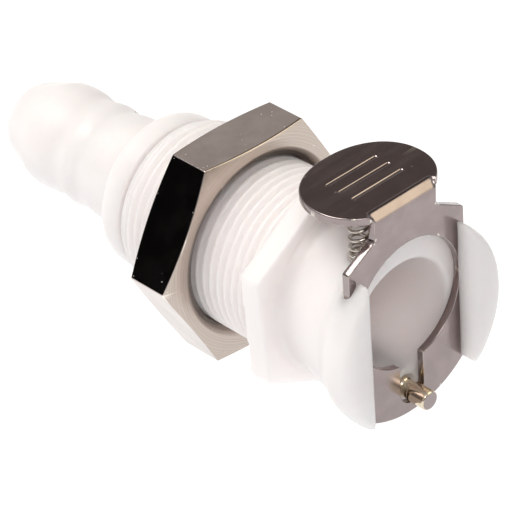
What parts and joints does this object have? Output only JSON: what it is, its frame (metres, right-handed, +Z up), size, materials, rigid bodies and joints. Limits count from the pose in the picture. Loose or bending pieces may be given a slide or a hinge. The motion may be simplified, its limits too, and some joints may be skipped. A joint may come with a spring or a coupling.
{
  "type": "panel mount quick disconnect hose fitting",
  "caption": "Panel-mount quick-disconnect hose fitting: threaded body with hex collar and nut, hose barb behind, and a spring-loaded thumb latch plate across the socket mouth.",
  "frame": {"origin": "on the coupling axis, in the plane of the hex collar's rear face, which lies against the panel", "axes": "+Y along the coupling axis from the mouth toward the hose barb, +Z up toward the thumb tab, +X to the right when looking into the mouth"},
  "size_m": [0.0274, 0.0607, 0.0278],
  "materials": {
    "acetal": "natural white acetal, slightly translucent, satin as moulded",
    "seal_rubber": "black nitrile",
    "spring_wire": "drawn stainless wire",
    "stainless_sheet": "rolled stainless sheet, semi-bright",
    "pin_steel": "turned and polished stainless",
    "nickel_plate": "nickel-plated brass, warm tint"
  },
  "bodies": {
    "housing": {"coupling_body": "acetal", "hose_barb_adapter": "acetal", "adapter_oring": "seal_rubber", "latch_spring": "spring_wire", "detent_spring": "spring_wire", "valve_spring": "spring_wire"},
    "latch": {"latch_plate": "stainless_sheet"},
    "pin": {"detent_pin": "pin_steel"},
    "valve": {"valve_poppet": "acetal", "poppet_oring": "seal_rubber"},
    "nut": {"panel_nut": "nickel_plate"}
  },
  "joints": [
    {"name": "latch_slide", "type": "slide", "parent": "housing", "child": "latch", "axis": [0, 0, 1], "range_m": [-0.0025, 0], "stiffness_N_per_m": 800, "springref_m": 0.0025, "deforming": ["latch_spring"]},
    {"name": "detent_pin_slide", "type": "slide", "parent": "housing", "child": "pin", "axis": [0, 1, 0], "range_m": [0, 0.0022], "stiffness_N_per_m": 300, "springref_m": -0.002, "deforming": ["detent_spring"]},
    {"name": "valve_slide", "type": "slide", "parent": "housing", "child": "valve", "axis": [0, 1, 0], "range_m": [0, 0.002], "stiffness_N_per_m": 500, "springref_m": -0.003, "deforming": ["valve_spring"]},
    {"name": "panel_nut_travel", "type": "slide", "parent": "housing", "child": "nut", "axis": [0, 1, 0], "range_m": [-0.0083, 0.006]}
  ]
}
